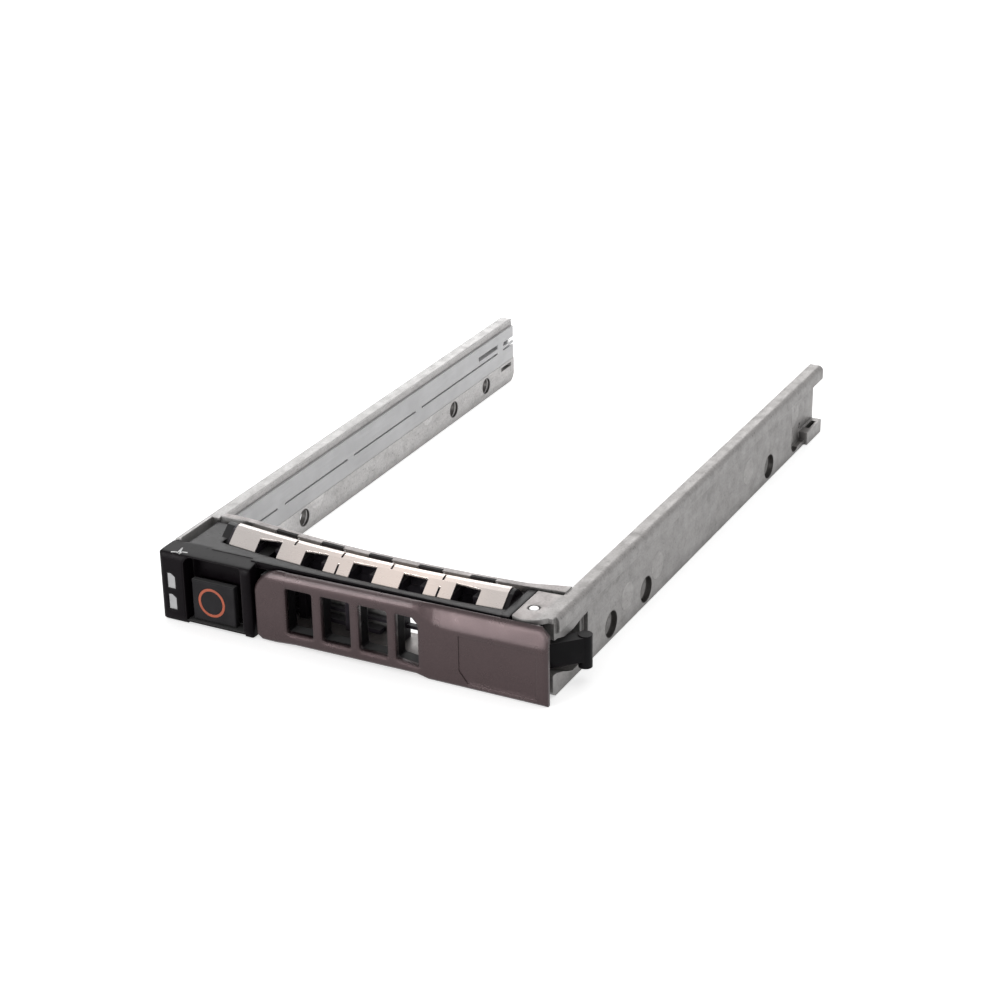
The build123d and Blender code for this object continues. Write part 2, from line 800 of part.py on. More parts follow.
def handle_bevel():
    """Cutter for the sloped upper edge, which grows tall over the grip on the right."""
    grip_x = handle_right_x - 17.95
    growing = [(-6.2, 1.5), (-5.0, 2.35), (-3.6, 3.2), (-2.1, 3.55)]
    stations = [(-7.4, edge_bevel), *growing, (0, grip_bevel)]
    stations = [(grip_x + x, drop) for x, drop in stations]
    cutter = along_x(bevel_profile(edge_bevel), handle_left_x - 1, stations[0][0])
    for (x0, drop0), (x1, drop1) in zip(stations, stations[1:]):
        start = Pos(x0, 0, 0) * (Plane.YZ * bevel_profile(drop0))
        end = Pos(x1, 0, 0) * (Plane.YZ * bevel_profile(drop1))
        cutter += loft([start, end], ruled=True)
    cutter += along_x(bevel_profile(grip_bevel), stations[-1][0], handle_right_x + 1)
    left = handle_left_x + 6.4
    run = handle_right_x - 1.35 - left
    slope = degrees(atan2(handle_taper, run))
    return Pos(left, 0, handle_low_top) * Rot(0, -slope, 0) * Pos(-left, 0, 0) * cutter


def handle_cover():
    """Metal-look cover on the front of the handle."""
    rim_y = handle_front_y + rim_bevel
    cover = along_y(handle_outline(), rim_y, cover_back_y)
    cover += Pos(0, rim_y, 0) * extrude(Plane.XZ * handle_outline(), rim_bevel, taper=45)
    seat = 0.1
    cover -= box(
        handle_left_x + 1, lever_right_x + seat, lever_front_y, cover_back_y + 1,
        lever_low_z - seat, lever_top_z + seat,
    )
    cover -= box(
        lever_right_x - 2.5, handle_right_x + 1, lever_front_y, cover_back_y + 1,
        -1, lever_top_z - 1,
    )
    cover -= handle_bevel()
    for x0, x1 in handle_windows():
        cover -= along_y(window_face(x0, x1, 0), handle_front_y - 1, cover_back_y + 1)
    left = handle_right_x - 16.65
    right = handle_right_x - 1.95
    label = outline((left, 9.9), (left, 3.2), (left + 1.7, 1.05), (right, 1.05), (right, 9.9))
    cover -= along_y(label, handle_front_y - 1, handle_front_y + 0.15)
    return cover


def handle_lever():
    """Black lever behind the cover: vent bars, hub on the pin and the hook."""
    body = box(handle_left_x + 1.1, lever_right_x, lever_front_y, lever_back_y, lever_low_z, lever_top_z)
    body -= box(
        handle_windows()[-1][1] + 1.6, lever_right_x - 4, lever_front_y + 1.4, lever_back_y + 1,
        lever_low_z + 1.1, lever_top_z - 1.1,
    )
    for x0, x1 in handle_windows():
        body -= along_y(window_face(x0, x1, 0.05), lever_front_y - 1, lever_back_y + 1)
    bridge = outline(
        (pin_x - 2.25, lever_back_y - 0.5),
        (pin_x - 0.5, lever_front_y + 0.05),
        (pin_x + 1.6, pin_y),
        (pin_x - hub_r, pin_y),
    )
    lever = body + upward(bridge, lever_low_z, hub_top_z)
    lever += rod(pin_x, pin_y, hub_r, floor_thickness + 0.2, hub_top_z)
    arm = outline(
        (pin_x + 0.6, pin_y - 1.9),
        (pin_x + 3.2, pin_y + 0.3),
        (knob_x + 0.3, knob_y - 1.2),
        (knob_x - 0.9, knob_y + 0.9),
        (pin_x + 2.0, pin_y + 3.6),
        (pin_x - 0.8, pin_y + 2.0),
    )
    lever += upward(arm, arm_low_z, arm_top_z)
    lever += rod(knob_x, knob_y, knob_r, knob_low_z, knob_top_z)
    return lever - rod(pin_x, pin_y, pin_r + pin_play, -1, hub_top_z + 1)


def hinge_pin():
    """Steel pin the handle turns on."""
    pin = rod(pin_x, pin_y, pin_r, 0.15, rail_height)
    return chamfer(pin.edges().group_by(Axis.Z)[-1], 0.2)


def handle_spring():
    """Torsion spring round the pin, above the hub, with a straight leg at each end."""
    wire = 0.5
    turns = 2.25
    gap = 0.3
    pitch = (spring_room - 2 * gap - wire) / (turns + 0.5)
    return Pos(pin_x, pin_y, hub_top_z + gap + wire / 2) * coil(1.65, wire, pitch, turns, 2.2)


def cell_middles():
    """Where the middles of the strip's windows are along X."""
    first = cell_middle_x - cell_pitch * (cell_count - 1) / 2
    return [first + cell_pitch * n for n in range(cell_count)]


def strip_profile():
    """Section of the shielding strip: rear lip, raised crest and sloping fingers."""
    r = bow_radius
    crest = strip_crest_z
    low_crest = crest - strip_thickness
    return outline(
        (strip_rear_r + 0.15, crest - strip_rear_drop),
        (strip_rear_r + 1.1, crest - strip_rear_drop + 0.15),
        (r - 1.0, crest - 0.4),
        (r - 0.2, crest),
        (r + 0.5, crest - 0.05),
        (r + 1.3, crest - 0.4),
        (strip_tip_r, strip_tip_z),
        (strip_tip_r - 0.18, strip_tip_z - 0.2),
        (r + 1.2, low_crest - 0.43),
        (r + 0.4, low_crest - 0.08),
        (r - 0.2, low_crest - 0.02),
        (r - 0.9, low_crest - 0.37),
        (strip_rear_r + 1.15, low_crest - strip_rear_drop + 0.15),
        (strip_rear_r + 0.15, low_crest - strip_rear_drop),
    )


def emi_strip():
    """Springy metal strip over the crossbar, bowed like it, with five windows."""
    ring = revolve(Plane.XZ * strip_profile(), Axis.Z)
    strip = Pos(bow_x, bow_y, 0) * ring
    low = strip_tip_z - 1
    high = strip_crest_z + 1
    front = bezel_front_y
    strip &= box(strip_left_x, strip_right_x, front, bar_end_y + 2, low, high)
    half = cell_window_width / 2
    for x in cell_middles():
        strip -= box(x - half, x + half, front, bow_y_at(x, bow_radius + 1.35), low, high)
    for n in range(cell_count - 1):
        x = cell_middle_x + cell_pitch * (n - (cell_count - 2) / 2)
        crest = bow_y_at(x, bow_radius)
        strip -= box(x - 0.2, x + 0.2, crest - 1.2, crest + 0.2, low, high)
        if n % 2 == 1:
            strip -= box(x - 0.25, x + 0.15, front, crest - strip_slit_back, low, high)
    return strip


def vent_carrier():
    """Plastic comb under the strip that holds it and lets the air through."""
    left = strip_left_x - 0.6
    right = strip_right_x - 0.3
    top = comb_top
    plate_low = top - comb_plate
    beam_top = bar_height - comb_beam_top
    rear = carrier_rear_r
    plate = bow_band(rear + 1.2, strip_tip_r - 0.75, plate_low, top, left, right)
    beam = bow_band(rear, rear + 1.5, beam_top - comb_beam_height, beam_top, left, right)
    bar = bow_band(rear + 0.3, rear + 1.4, 3.2, 3.8, left, right)
    foot = bow_band(rear, rear + 1.9, floor_thickness, floor_thickness + 0.8, left, 0.5)
    comb = plate + beam + bar + foot + cheek(left, strip_left_x - 0.1)
    for x in cell_middles():
        y = bow_y_at(x, bow_radius + 2)
        comb -= box(x - 2.7, x + 2.7, y - 4, y + 3.6, plate_low - 0.4, top + 0.1)
        comb += box(x + 0.7, x + 2.7, y + 0.6, y + 3.7, plate_low - 1.4, top)
    for n in range(cell_count + 1):
        x = cell_middle_x + cell_pitch * (n - cell_count / 2)
        x = min(max(x, left + 0.75), right - 0.75)
        y = bow_y_at(x, rear)
        comb += box(x - 0.75, x + 0.75, y - 3.2, y, floor_thickness, beam_top)
    comb -= rod(bow_x, bow_y, rear, 0, top + 1)
    post_x, post_y = screw_places()[1]
    comb -= rod(post_x, post_y, screw_post_r + 0.1, 0, plate_low)
    comb -= box(post_x, right + 1, post_y - 1.1, post_y + 1.1, 0, plate_low)
    comb -= box(bezel_left_x, housing_right_x, bezel_back_y, housing_back_y + 0.1, 0, housing_top)
    return comb


def bezel_screws():
    """Two flat-head screws that hold the bezel down on the floor."""
    screws = []
    for x, y in screw_places():
        screw = rod(x, y, screw_r, 0.4, floor_thickness + screw_length - 0.3)
        screw += rod(x, y, screw_head_r, 0.05, 0.5)
        screw -= box(x - 1.1, x + 1.1, y - 0.2, y + 0.2, -1, 0.3)
        screw -= box(x - 0.2, x + 0.2, y - 1.1, y + 1.1, -1, 0.3)
        screws.append(screw)
    return Compound(children=screws)


pieces = {
    "tray_frame": tray_frame(),
    "front_bezel": front_bezel(),
    "vent_carrier": vent_carrier(),
    "light_pipe": light_pipe(),
    "emi_strip": emi_strip(),
    "release_button": release_button(),
    "button_ring": button_ring(),
    "button_spring": button_spring(),
    "handle_cover": handle_cover(),
    "handle_lever": handle_lever(),
    "hinge_pin": hinge_pin(),
    "handle_spring": handle_spring(),
    "bezel_screws": bezel_screws(),
}

# The shared origin is the middle of the whole caddy's footprint, at its underside.
right_end = knob_x + knob_r
shift = Pos(-(bezel_left_x + right_end) / 2, -(bezel_front_y + rail_rear_y) / 2, 0)

os.makedirs("parts", exist_ok=True)
for name, shape in pieces.items():
    export_step(shift * shape, f"parts/{name}.step")
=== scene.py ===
import json
import math

import bmesh
import bpy
from mathutils import Matrix, Vector


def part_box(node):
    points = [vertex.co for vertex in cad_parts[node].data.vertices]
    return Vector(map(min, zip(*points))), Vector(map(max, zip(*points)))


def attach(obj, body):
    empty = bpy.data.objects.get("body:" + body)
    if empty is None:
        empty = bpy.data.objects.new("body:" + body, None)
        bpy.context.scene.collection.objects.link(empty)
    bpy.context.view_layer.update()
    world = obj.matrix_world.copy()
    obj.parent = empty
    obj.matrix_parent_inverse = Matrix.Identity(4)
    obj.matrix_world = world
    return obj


MM = 0.001

# Camera, found from the rails' screw holes and the width of the bay in the photograph:
# its place in metres, its angles in degrees, and its focal length in the photograph's pixels
CAMERA_AT = (185.53 * MM, -366.42 * MM, 190.11 * MM)
CAMERA_AZIMUTH = 27.532
CAMERA_ELEVATION = 24.378
CAMERA_ROLL = -0.963
FOCAL_PIXELS = 2301.768
IMAGE_PIXELS = 1000.0
SENSOR = 36.0

# Lamps that aim at the origin, as (name, place in metres, size in metres, power in watts)
LAMPS = (
    ("front", (-0.45, -0.88, 0.17), 0.34, 4.6),
    ("top", (0.1, 0.35, 0.9), 0.9, 2.5),
    ("back", (-0.42, 0.81, 0.42), 0.6, 2.6),
)

# Light of the room on the object, and how much of its own white the floor shows
ROOM_LIGHT = 0.5
FLOOR_GLOW = 0.58

# Side of the floor in metres, and how far it lies below the object in millimetres
FLOOR_SIZE = 6.0
FLOOR_DROP = 0.05

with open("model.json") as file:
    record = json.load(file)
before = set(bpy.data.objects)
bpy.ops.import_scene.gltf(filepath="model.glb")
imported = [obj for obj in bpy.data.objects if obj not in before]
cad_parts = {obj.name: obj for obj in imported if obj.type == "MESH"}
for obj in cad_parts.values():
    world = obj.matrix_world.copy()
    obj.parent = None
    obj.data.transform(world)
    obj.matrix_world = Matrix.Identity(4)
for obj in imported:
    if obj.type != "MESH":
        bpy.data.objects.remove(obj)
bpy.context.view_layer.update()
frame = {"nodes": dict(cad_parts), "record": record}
nodes = frame["nodes"]
mounts = {mount["name"]: mount for mount in frame["record"]["mounts"]}


def corners(node):
    """Lowest and highest corner of a CAD node, in millimetres."""
    return [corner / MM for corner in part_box(node)]


# From here on, sizes and places are in millimetres, in the frame of the CAD.
# Drive bay: its middle and half its width, from the screw holes of the two rails
RIGHT_X = mounts["right_holes_forward"]["pos_m"][0] / MM
LEFT_X = mounts["left_holes_forward"]["pos_m"][0] / MM
BAY_X = (RIGHT_X + LEFT_X) / 2
BAY_HALF = (RIGHT_X - LEFT_X) / 2

# Radii of the screw holes and their sinks, and how far from the bay the sinks begin
DRIVE_HOLE_R = mounts["right_holes_forward"]["dims"]["hole_r_mm"]
SINK_R = DRIVE_HOLE_R + 0.8
SINK_SETBACK = 1.0

# Round ejector pin marks on the rails' webs, as (y, z), and their radius
PIN_MARKS = ((-32.1, 5.4), (-18.8, 5.6), (26.1, 6.4), (54.9, 7.4))
PIN_MARK_R = 2.6

# Bow that the crossbar and the strip follow, seen from above
BOW_X = BAY_X + 7.0
BOW_Y = 181.85
BOW_R = 240.0

# Strip's left end and crest, and its cells: how many, and where from its left end
STRIP_LEFT_X = corners("emi_strip")[0].x
CREST_Z = corners("emi_strip")[1].z
CELLS = 5
CELL_PITCH = 10.05
FIRST_CELL = 8.3

# Painted shade at the clip slots in the crossbar's top edge, as dark blocks: half length, and rear and
# front inside the bow
SLOT_HALF = 2.35
SLOT_REAR = -4.25
SLOT_FRONT = -3.57
SLOT_DEPTH = 0.6
SLOT_PROUD = 0.02

# Block at the strip's left end: its section, as (outside the bow, below the crest), and
# how far left of the strip it begins and ends
STOP_SECTION = (
    (-3.3, 4.85), (-3.3, 2.4), (-1.0, 0.7), (-0.2, 0.3), (0.6, 0.35), (3.4, 2.55), (3.2, 4.85),
)
STOP_BEGIN = 2.4
STOP_END = 0.35

# Pulse line printed on the bezel, as (right of, behind) its left front corner
PULSE = (
    (2.725, 0.45), (3.625, 0.7), (3.925, 0.55), (4.025, 2.0), (4.425, 0.35), (4.625, 1.0),
    (5.625, 1.1),
)
PULSE_WIDTH = 0.26
PULSE_OVERLAP = 0.35
PRINT_THICKNESS = 0.02

# Sloping top of the bezel: where behind its front and how high it begins, and its rise
SLOPE_SETBACK = 0.3
SLOPE_Z = 13.6
SLOPE_RISE = 0.2143


class Finish:
    """A procedural material: a principled shader with helpers to put detail on it."""

    def __init__(self, name, color, roughness, metallic=0.0, **sockets):
        self.material = bpy.data.materials.new(name)
        self.material.use_nodes = True
        self.tree = self.material.node_tree
        self.shader = self.tree.nodes["Principled BSDF"]
        self.shader.inputs["Base Color"].default_value = (*color, 1.0)
        self.shader.inputs["Roughness"].default_value = roughness
        self.shader.inputs["Metallic"].default_value = metallic
        for socket, value in sockets.items():
            self.shader.inputs[socket.replace("_", " ")].default_value = value
        where = self.add("ShaderNodeTexCoord")
        self.place = where.outputs["Object"]
        self.facing = where.outputs["Normal"]

    def add(self, kind, **settings):
        """A new node with its settings."""
        node = self.tree.nodes.new(kind)
        for key, value in settings.items():
            setattr(node, key, value)
        return node

    def link(self, source, target):
        self.tree.links.new(source, target)

    def noise(self, size, detail=4.0, stretch=(1, 1, 1)):
        """Noise whose grains are about that size; stretch lengthens them."""
        mapping = self.add("ShaderNodeMapping")
        mapping.inputs["Scale"].default_value = [1 / s for s in stretch]
        self.link(self.place, mapping.inputs["Vector"])
        noise = self.add("ShaderNodeTexNoise")
        noise.inputs["Scale"].default_value = 1 / (size * MM)
        noise.inputs["Detail"].default_value = detail
        self.link(mapping.outputs["Vector"], noise.inputs["Vector"])
        return noise.outputs["Fac"]

    def axis(self, vector, name):
        """One of the three numbers of a place or a direction."""
        parts = self.add("ShaderNodeSeparateXYZ")
        self.link(vector, parts.inputs["Vector"])
        return parts.outputs[name]

    def aside(self):
        """How far from the middle of the drive bay, to the left or right."""
        shift = self.add("ShaderNodeMath", operation="SUBTRACT")
        shift.inputs[1].default_value = BAY_X * MM
        self.link(self.axis(self.place, "X"), shift.inputs[0])
        size = self.add("ShaderNodeMath", operation="ABSOLUTE")
        self.link(shift.outputs[0], size.inputs[0])
        return size.outputs[0]

    def both(self, first, second):
        """The product of two shares."""
        node = self.add("ShaderNodeMath", operation="MULTIPLY")
        self.link(first, node.inputs[0])
        self.link(second, node.inputs[1])
        return node.outputs[0]

    def disc(self, y, z, r):
        """One inside a circle seen along X, on both rails alike, and zero outside it."""
        flat = self.add("ShaderNodeVectorMath", operation="MULTIPLY")
        flat.inputs[1].default_value = (0, 1, 1)
        self.link(self.place, flat.inputs[0])
        away = self.add("ShaderNodeVectorMath", operation="DISTANCE")
        away.inputs[1].default_value = (0, y * MM, z * MM)
        self.link(flat.outputs["Vector"], away.inputs[0])
        return self.across(away.outputs["Value"], 1, 0, r - 0.1, r + 0.1)

    def ramp(self, value, low, high, start, end):
        """The value, spread from low to high between the start and end of its range."""
        node = self.add("ShaderNodeMapRange")
        node.inputs["From Min"].default_value = start
        node.inputs["From Max"].default_value = end
        node.inputs["To Min"].default_value = low
        node.inputs["To Max"].default_value = high
        self.link(value, node.inputs["Value"])
        return node.outputs["Result"]

    def across(self, length, low, high, start, end):
        """The same for a length or place, with start and end in millimetres."""
        return self.ramp(length, low, high, start * MM, end * MM)

    def mix(self, share, first, second):
        """Two colours, each a tuple or a socket, mixed by a share."""
        node = self.add("ShaderNodeMix", data_type="RGBA")
        self.link(share, node.inputs["Factor"])
        for value, socket in ((first, node.inputs["A"]), (second, node.inputs["B"])):
            if isinstance(value, tuple):
                socket.default_value = (*value, 1.0)
            else:
                self.link(value, socket)
        return node.outputs["Result"]

    def scaled(self, socket, factor):
        """The same colour, lighter or darker by a factor."""
        node = self.add("ShaderNodeVectorMath", operation="SCALE")
        node.inputs["Scale"].default_value = factor
        self.link(socket, node.inputs[0])
        return node.outputs["Vector"]

    def color(self, socket):
        self.link(socket, self.shader.inputs["Base Color"])

    def roughness(self, socket):
        self.link(socket, self.shader.inputs["Roughness"])

    def relief(self, *layers, edge=0.15):
        """Bumps from (height, depth) layers, over edges softened by the radius edge."""
        soft = self.add("ShaderNodeBevel", samples=4)
        soft.inputs["Radius"].default_value = edge * MM
        normal = soft.outputs["Normal"]
        for height, depth in layers:
            bump = self.add("ShaderNodeBump")
            bump.inputs["Strength"].default_value = 1.0
            bump.inputs["Distance"].default_value = depth * MM
            self.link(height, bump.inputs["Height"])
            self.link(normal, bump.inputs["Normal"])
            normal = bump.outputs["Normal"]
        self.link(normal, self.shader.inputs["Normal"])

    def shade_hollows(self, base, dark, reach):
        """Painted shade: darker colour in holes and slots, up to the reach from their sides."""
        hidden = self.add("ShaderNodeAmbientOcclusion", samples=6)
        hidden.inputs["Distance"].default_value = reach * MM
        share = self.ramp(hidden.outputs["AO"], 0.8, 0.0, 0.25, 0.8)
        return self.mix(share, base, dark)

    def highlit_worn_edges(self, base, highlit_worn, radius, strength):
        """Lighter colour where the surface turns sharply: a painted highlight along the edges, and
        wear as on handled or polished edges.
        """
        soft = self.add("ShaderNodeBevel", samples=6)
        soft.inputs["Radius"].default_value = radius * MM
        flat = self.add("ShaderNodeNewGeometry").outputs["Normal"]
        dot = self.add("ShaderNodeVectorMath", operation="DOT_PRODUCT")
        self.link(soft.outputs["Normal"], dot.inputs[0])
        self.link(flat, dot.inputs[1])
        share = self.ramp(dot.outputs["Value"], strength, 0.0, 0.8, 0.99)
        return self.mix(share, base, highlit_worn)


def scaled_color(color, factor):
    """A colour given as a tuple, lighter or darker by a factor."""
    return tuple(c * factor for c in color)


def drive_holes():
    """Places of the screw holes that each rail has, as (y, z)."""
    holes = []
    for name in ("right_holes_forward", "right_holes_back"):
        _, y, z = (place / MM for place in mounts[name]["pos_m"])
        half = mounts[name]["dims"]["spacing_x_mm"] / 2
        holes += [(y - half, z), (y + half, z)]
    return holes


def metal_painted_shading(f):
    """Painted shade: pale on the left and dark on the right, and another grey on top than on the
    sides, for how the light falls on them.
    """
    shade_to_right = f.across(f.axis(f.place, "X"), 0, 1, -30, 34)
    on_rail = f.across(f.aside(), 0, 1, BAY_HALF - 1.3, BAY_HALF - 0.2)
    upward = f.ramp(f.axis(f.facing, "Z"), 0, 1, 0.3, 0.9)
    side = f.mix(shade_to_right, (0.56, 0.546, 0.54), (0.295, 0.285, 0.28))
    rail_top_shade = f.mix(shade_to_right, (0.395, 0.386, 0.381), (0.262, 0.250, 0.244))
    top = f.mix(on_rail, (0.27, 0.247, 0.241), rail_top_shade)
    return f.mix(upward, side, top)


def metal_flaws(f, base):
    """Clouds, blots, flow lines along the rails, light grains and dark specks."""
    clouds = f.ramp(f.noise(7, 4), 0, 0.6, 0.35, 0.7)
    blots = f.ramp(f.noise(1.6, 5), 0, 1, 0.5, 0.72)
    flow = f.ramp(f.noise(0.8, 4, stretch=(1, 7, 1)), 0, 0.45, 0.45, 0.7)
    grains = f.ramp(f.noise(0.45, 4), 0, 0.5, 0.42, 0.66)
    specks = f.ramp(f.noise(0.38, 2), 0.8, 0, 0.27, 0.36)
    for share, factor in ((clouds, 0.84), (blots, 0.84), (flow, 0.78), (grains, 1.3), (specks, 0.35)):
        base = f.mix(share, base, f.scaled(base, factor))
    return base


def metal_hole_shade(f, base):
    """Painted shade: dark bores of the screw holes, and a little less dark sinks on the rails' outer
    sides.
    """
    sink_x = BAY_HALF + SINK_SETBACK
    outer = f.across(f.aside(), 0, 1, sink_x - 0.15, sink_x - 0.05)
    for y, z in drive_holes():
        base = f.mix(f.disc(y, z, DRIVE_HOLE_R + 0.15), base, (0.02, 0.018, 0.017))
        sink_shade = f.both(outer, f.disc(y, z, SINK_R + 0.1))
        base = f.mix(sink_shade, base, (0.04, 0.037, 0.035))
    return base


def cast_metal():
    """Grey die casting with ejector marks, its edges lighter with painted highlight and wear, and
    painted shade in its corners.
    """
    f = Finish("cast_metal", (0.42, 0.41, 0.40), 0.45, 0.5)
    base = metal_flaws(f, metal_painted_shading(f))
    base = f.shade_hollows(base, (0.06, 0.057, 0.054), 4.0)
    base = f.highlit_worn_edges(base, (0.66, 0.65, 0.64), 0.3, 0.4)
    marks = [f.disc(y, z, PIN_MARK_R) for y, z in PIN_MARKS]
    for mark in marks:
        base = f.mix(mark, base, f.scaled(base, 1.2))
    f.color(metal_hole_shade(f, base))
    f.roughness(f.ramp(f.noise(2.5, 5), 0.34, 0.55, 0.3, 0.7))
    steps = [(mark, 0.1) for mark in marks]
    f.relief((f.noise(0.35, 4), 0.026), (f.noise(5, 2), 0.08), *steps, edge=0.3)
    return f.material


def moulded_plastic(name, color, roughness, edge=0.3):
    """Dark plastic with a fine spark-eroded grain and rounded edges, a painted highlight on its top,
    and painted highlight and wear on its edges.
    """
    f = Finish(name, color, roughness, Specular_IOR_Level=0.06)
    painted_top_light = tuple(c + 0.085 for c in color)
    upward = f.ramp(f.axis(f.facing, "Z"), 0, 0.9, 0.7, 1.0)
    base = f.mix(f.ramp(f.noise(5, 3), 0, 1, 0.4, 0.7), color, scaled_color(color, 1.6))
    base = f.mix(upward, base, painted_top_light)
    f.color(f.highlit_worn_edges(base, (0.075, 0.066, 0.070), 0.2, 0.5))
    f.roughness(f.ramp(f.noise(1.2, 4), roughness - 0.06, roughness + 0.1, 0.3, 0.7))
    f.relief((f.noise(0.12, 2), 0.003), edge=edge)
    return f.material


def bronze_paint():
    """Dark bronze satin paint with a fine metallic flake, painted shade in its grooves, and painted
    highlight and wear on its edges.
    """
    f = Finish("bronze_paint", (0.06, 0.04, 0.043), 0.3, 0.6, Coat_Weight=0.2, Coat_Roughness=0.2)
    flakes = f.ramp(f.noise(0.09, 2), 0, 1, 0.45, 0.75)
    clouds = f.ramp(f.noise(9, 3), 0, 0.5, 0.4, 0.7)
    base = f.mix(flakes, (0.046, 0.028, 0.030), (0.078, 0.049, 0.050))
    base = f.mix(clouds, base, (0.057, 0.036, 0.038))
    base = f.shade_hollows(base, (0.016, 0.010, 0.011), 0.4)
    f.color(f.highlit_worn_edges(base, (0.22, 0.165, 0.155), 0.25, 0.08))
    f.roughness(f.ramp(f.noise(3, 4), 0.25, 0.36, 0.3, 0.7))
    f.relief((f.noise(0.15, 2), 0.003), edge=1.2)
    return f.material


def rolled_steel(name, color, roughness, along, middle=None):
    """Bright rolled metal with faint lines, painted shade in its hollows, painted highlight and wear
    on its edges, and a lighter colour painted at the middle as a highlight if one is given.
    """
    f = Finish(name, color, roughness, 0.9)
    lines = f.noise(0.3, 3, stretch=along)
    clouds = f.ramp(f.noise(5, 3), 0, 0.6, 0.35, 0.7)
    base = f.mix(clouds, color, scaled_color(color, 0.94))
    if middle:
        x = f.axis(f.place, "X")
        base = f.mix(f.across(x, 0, 1, -24, 4), base, middle)
        base = f.mix(f.across(x, 0, 0.8, 12, 24), base, color)
    polished_highlight = tuple(min(c, 0.95) for c in scaled_color(color, 1.3))
    base = f.shade_hollows(base, scaled_color(color, 0.35), 0.8)
    f.color(f.highlit_worn_edges(base, polished_highlight, 0.2, 0.6))
    f.roughness(f.ramp(lines, roughness - 0.06, roughness + 0.08, 0.3, 0.7))
    f.relief((lines, 0.002), edge=0.15)
    return f.material


def clear_plastic():
    """Slightly milky light pipe, streaked along its length, with painted shade at its front end and
    painted highlight and wear on its edges.
    """
    f = Finish("clear_plastic", (0.60, 0.61, 0.62), 0.25, 0.0, Coat_Weight=0.4, Coat_Roughness=0.12)
    f.shader.inputs["Transmission Weight"].default_value = 0.2
    f.shader.inputs["IOR"].default_value = 1.49
    clouds = f.ramp(f.noise(8, 3), 0, 1, 0.35, 0.7)
    streaks = f.ramp(f.noise(1.5, 4, stretch=(1, 8, 1)), 0, 0.5, 0.5, 0.7)
    tip_shade = f.across(f.axis(f.place, "Y"), 1, 0, -62, -60)
    base = f.mix(clouds, (0.68, 0.68, 0.69), (0.80, 0.80, 0.81))
    base = f.mix(streaks, base, (0.88, 0.88, 0.89))
    base = f.mix(tip_shade, base, f.scaled(base, 0.66))
    f.color(f.highlit_worn_edges(base, (0.86, 0.865, 0.87), 0.2, 0.6))
    f.relief((f.noise(3, 2), 0.02), edge=0.15)
    return f.material


def plain(name, color, roughness):
    """Smooth finish with faint unevenness."""
    f = Finish(name, color, roughness)
    f.color(f.mix(f.ramp(f.noise(0.7, 3), 0, 1, 0.35, 0.7), color, scaled_color(color, 0.82)))
    f.roughness(f.ramp(f.noise(0.8, 3), roughness - 0.05, roughness + 0.08, 0.3, 0.7))
    f.relief((f.noise(0.3, 2), 0.004), edge=0.1)
    return f.material


black = moulded_plastic("black_plastic", (0.009, 0.0086, 0.0094), 0.32)
steel = rolled_steel("steel", (0.62, 0.61, 0.60), 0.28, (1, 1, 6))
finishes = {
    "tray_frame": cast_metal(),
    "front_bezel": moulded_plastic("bezel_plastic", (0.004, 0.0028, 0.0038), 0.32, edge=0.8),
    "vent_carrier": moulded_plastic("grey_plastic", (0.028, 0.024, 0.030), 0.4),
    "light_pipe": clear_plastic(),
    # Spring steel, with a lighter and warmer painted highlight at the middle of the strip
    "emi_strip": rolled_steel("spring_steel", (0.53, 0.49, 0.47), 0.3, (8, 1, 1), (0.76, 0.655, 0.60)),
    "release_button": moulded_plastic("button_plastic", (0.020, 0.0192, 0.0206), 0.42),
    "button_ring": plain("orange_mark", (0.42, 0.085, 0.035), 0.4),
    "button_spring": steel,
    "handle_cover": bronze_paint(),
    "handle_lever": black,
    "hinge_pin": steel,
    "handle_spring": steel,
    "bezel_screws": steel,
}
for node, material in finishes.items():
    nodes[node].data.materials.clear()
    nodes[node].data.materials.append(material)


def solid(name, pairs, material):
    """A small part of the tray, of pairs of loops of points, the two loops of a pair joined."""
    mesh = bmesh.new()
    for pair in pairs:
        low, high = ([mesh.verts.new(Vector(p) * MM) for p in loop] for loop in pair)
        mesh.faces.new(high)
        mesh.faces.new(low[::-1])
        for n in range(len(low)):
            m = (n + 1) % len(low)
            mesh.faces.new((low[n], low[m], high[m], high[n]))
    bmesh.ops.recalc_face_normals(mesh, faces=mesh.faces)
    data = bpy.data.meshes.new(name)
    mesh.to_mesh(data)
    mesh.free()
    data.materials.append(material)
    obj = bpy.data.objects.new(name, data)
    bpy.context.scene.collection.objects.link(obj)
    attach(obj, "tray")


def activity_mark():
    """White pulse line printed on the bezel's sloping top, at its left corner."""
    corner = corners("front_bezel")[0]
    up = Vector((0, -SLOPE_RISE, 1)).normalized()
    points = []
    for right, back in PULSE:
        z = SLOPE_Z + (back - SLOPE_SETBACK) * SLOPE_RISE
        points.append(Vector((corner.x + right, corner.y + back, z)) + up * PRINT_THICKNESS)
    pairs = []
    for a, b in zip(points, points[1:]):
        reach = (b - a).normalized() * PULSE_WIDTH * PULSE_OVERLAP
        side = reach.cross(up).normalized() * PULSE_WIDTH / 2
        ring = [a - reach - side, b + reach - side, b + reach + side, a - reach + side]
        pairs.append((ring, [p + up * PRINT_THICKNESS for p in ring]))
    solid("activity_mark", pairs, plain("white_print", (0.85, 0.85, 0.85), 0.5))


def on_bow(x, outside, z):
    """The point at this x and height that lies so far outside the bow, seen from above."""
    r = BOW_R + outside
    return (x, BOW_Y - math.sqrt(r * r - (x - BOW_X) ** 2), z)


